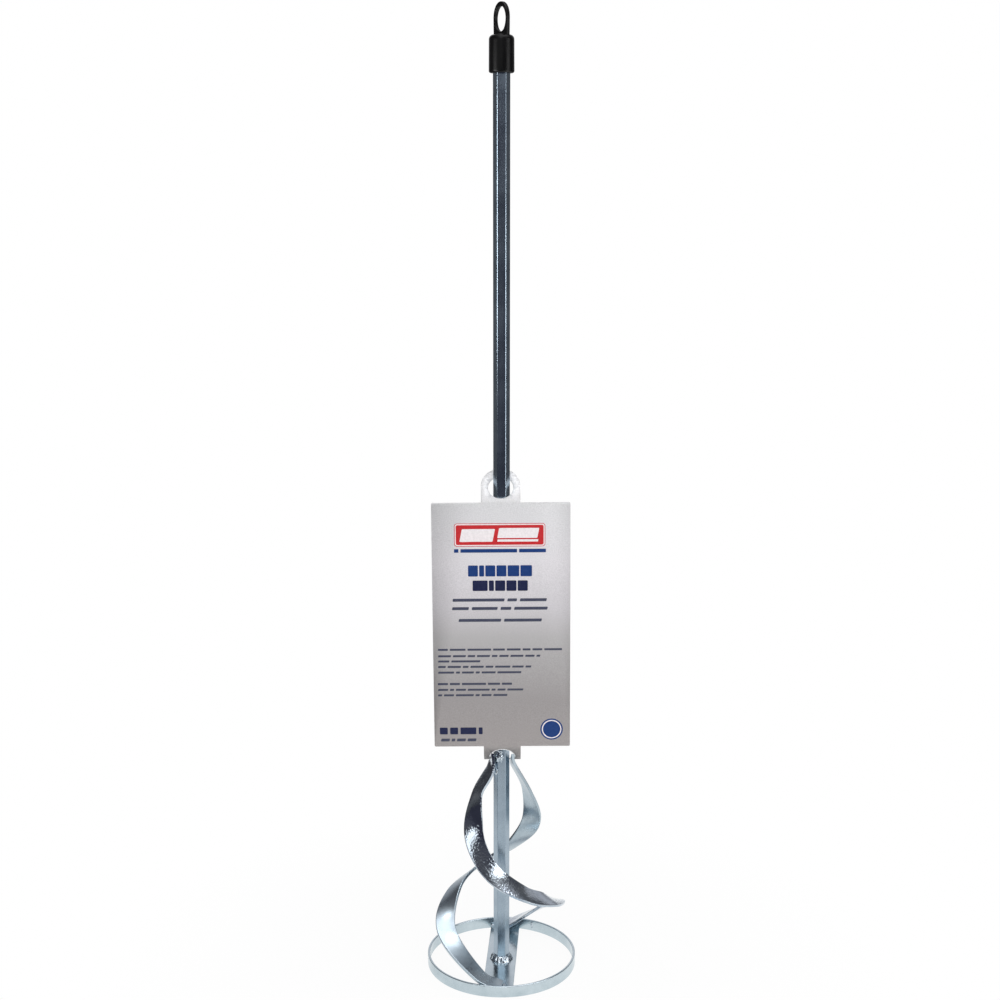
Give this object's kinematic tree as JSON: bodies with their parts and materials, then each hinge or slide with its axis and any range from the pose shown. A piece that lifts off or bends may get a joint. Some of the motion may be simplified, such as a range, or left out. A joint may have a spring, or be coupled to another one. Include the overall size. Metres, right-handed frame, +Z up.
{
  "type": "mortar mixing paddle",
  "caption": "Drill-driven mixing paddle for mortar and joint compound: a hexagonal steel shaft, wound ribbon strips on a base hoop, a hang cap and a display card.",
  "frame": {"origin": "centre of the base hoop's underside", "axes": "+Z up the shaft, -Y to the front where the card faces, +X to the viewer's right"},
  "size_m": [0.1016, 0.1016, 0.6361],
  "materials": {
    "plated_steel": "zinc plated, glossy, pale blue-grey",
    "bright_plated_steel": "zinc plated, bright, with a fine mottled grain",
    "weld_metal": "plated weld bead, rippled and glossy",
    "black_plastic": "satin moulded plastic",
    "card_sheet": "satin plastic sheet, pale at its tabs, printed grey on its panel"
  },
  "bodies": {
    "mixer": {"shaft": "plated_steel", "base_hoop": "plated_steel", "cross_bar": "plated_steel", "left_ribbon": "bright_plated_steel", "right_ribbon": "bright_plated_steel", "shaft_foot_weld": "weld_metal", "hoop_seam_weld": "weld_metal", "left_ribbon_top_weld": "weld_metal", "left_ribbon_side_weld": "weld_metal", "right_ribbon_top_weld": "weld_metal", "left_ribbon_foot_weld": "weld_metal", "right_ribbon_foot_weld": "weld_metal", "front_bar_weld": "weld_metal", "back_bar_weld": "weld_metal"},
    "cap": {"hang_cap": "black_plastic"},
    "card": {"card": "card_sheet"}
  },
  "joints": [
    {"name": "cap_pull", "type": "slide", "parent": "mixer", "child": "cap", "axis": [0, 0, 1], "range_m": [0, 0.03]},
    {"name": "card_slide", "type": "slide", "parent": "mixer", "child": "card", "axis": [0, 0, 1], "range_m": [0, 0.24]}
  ]
}
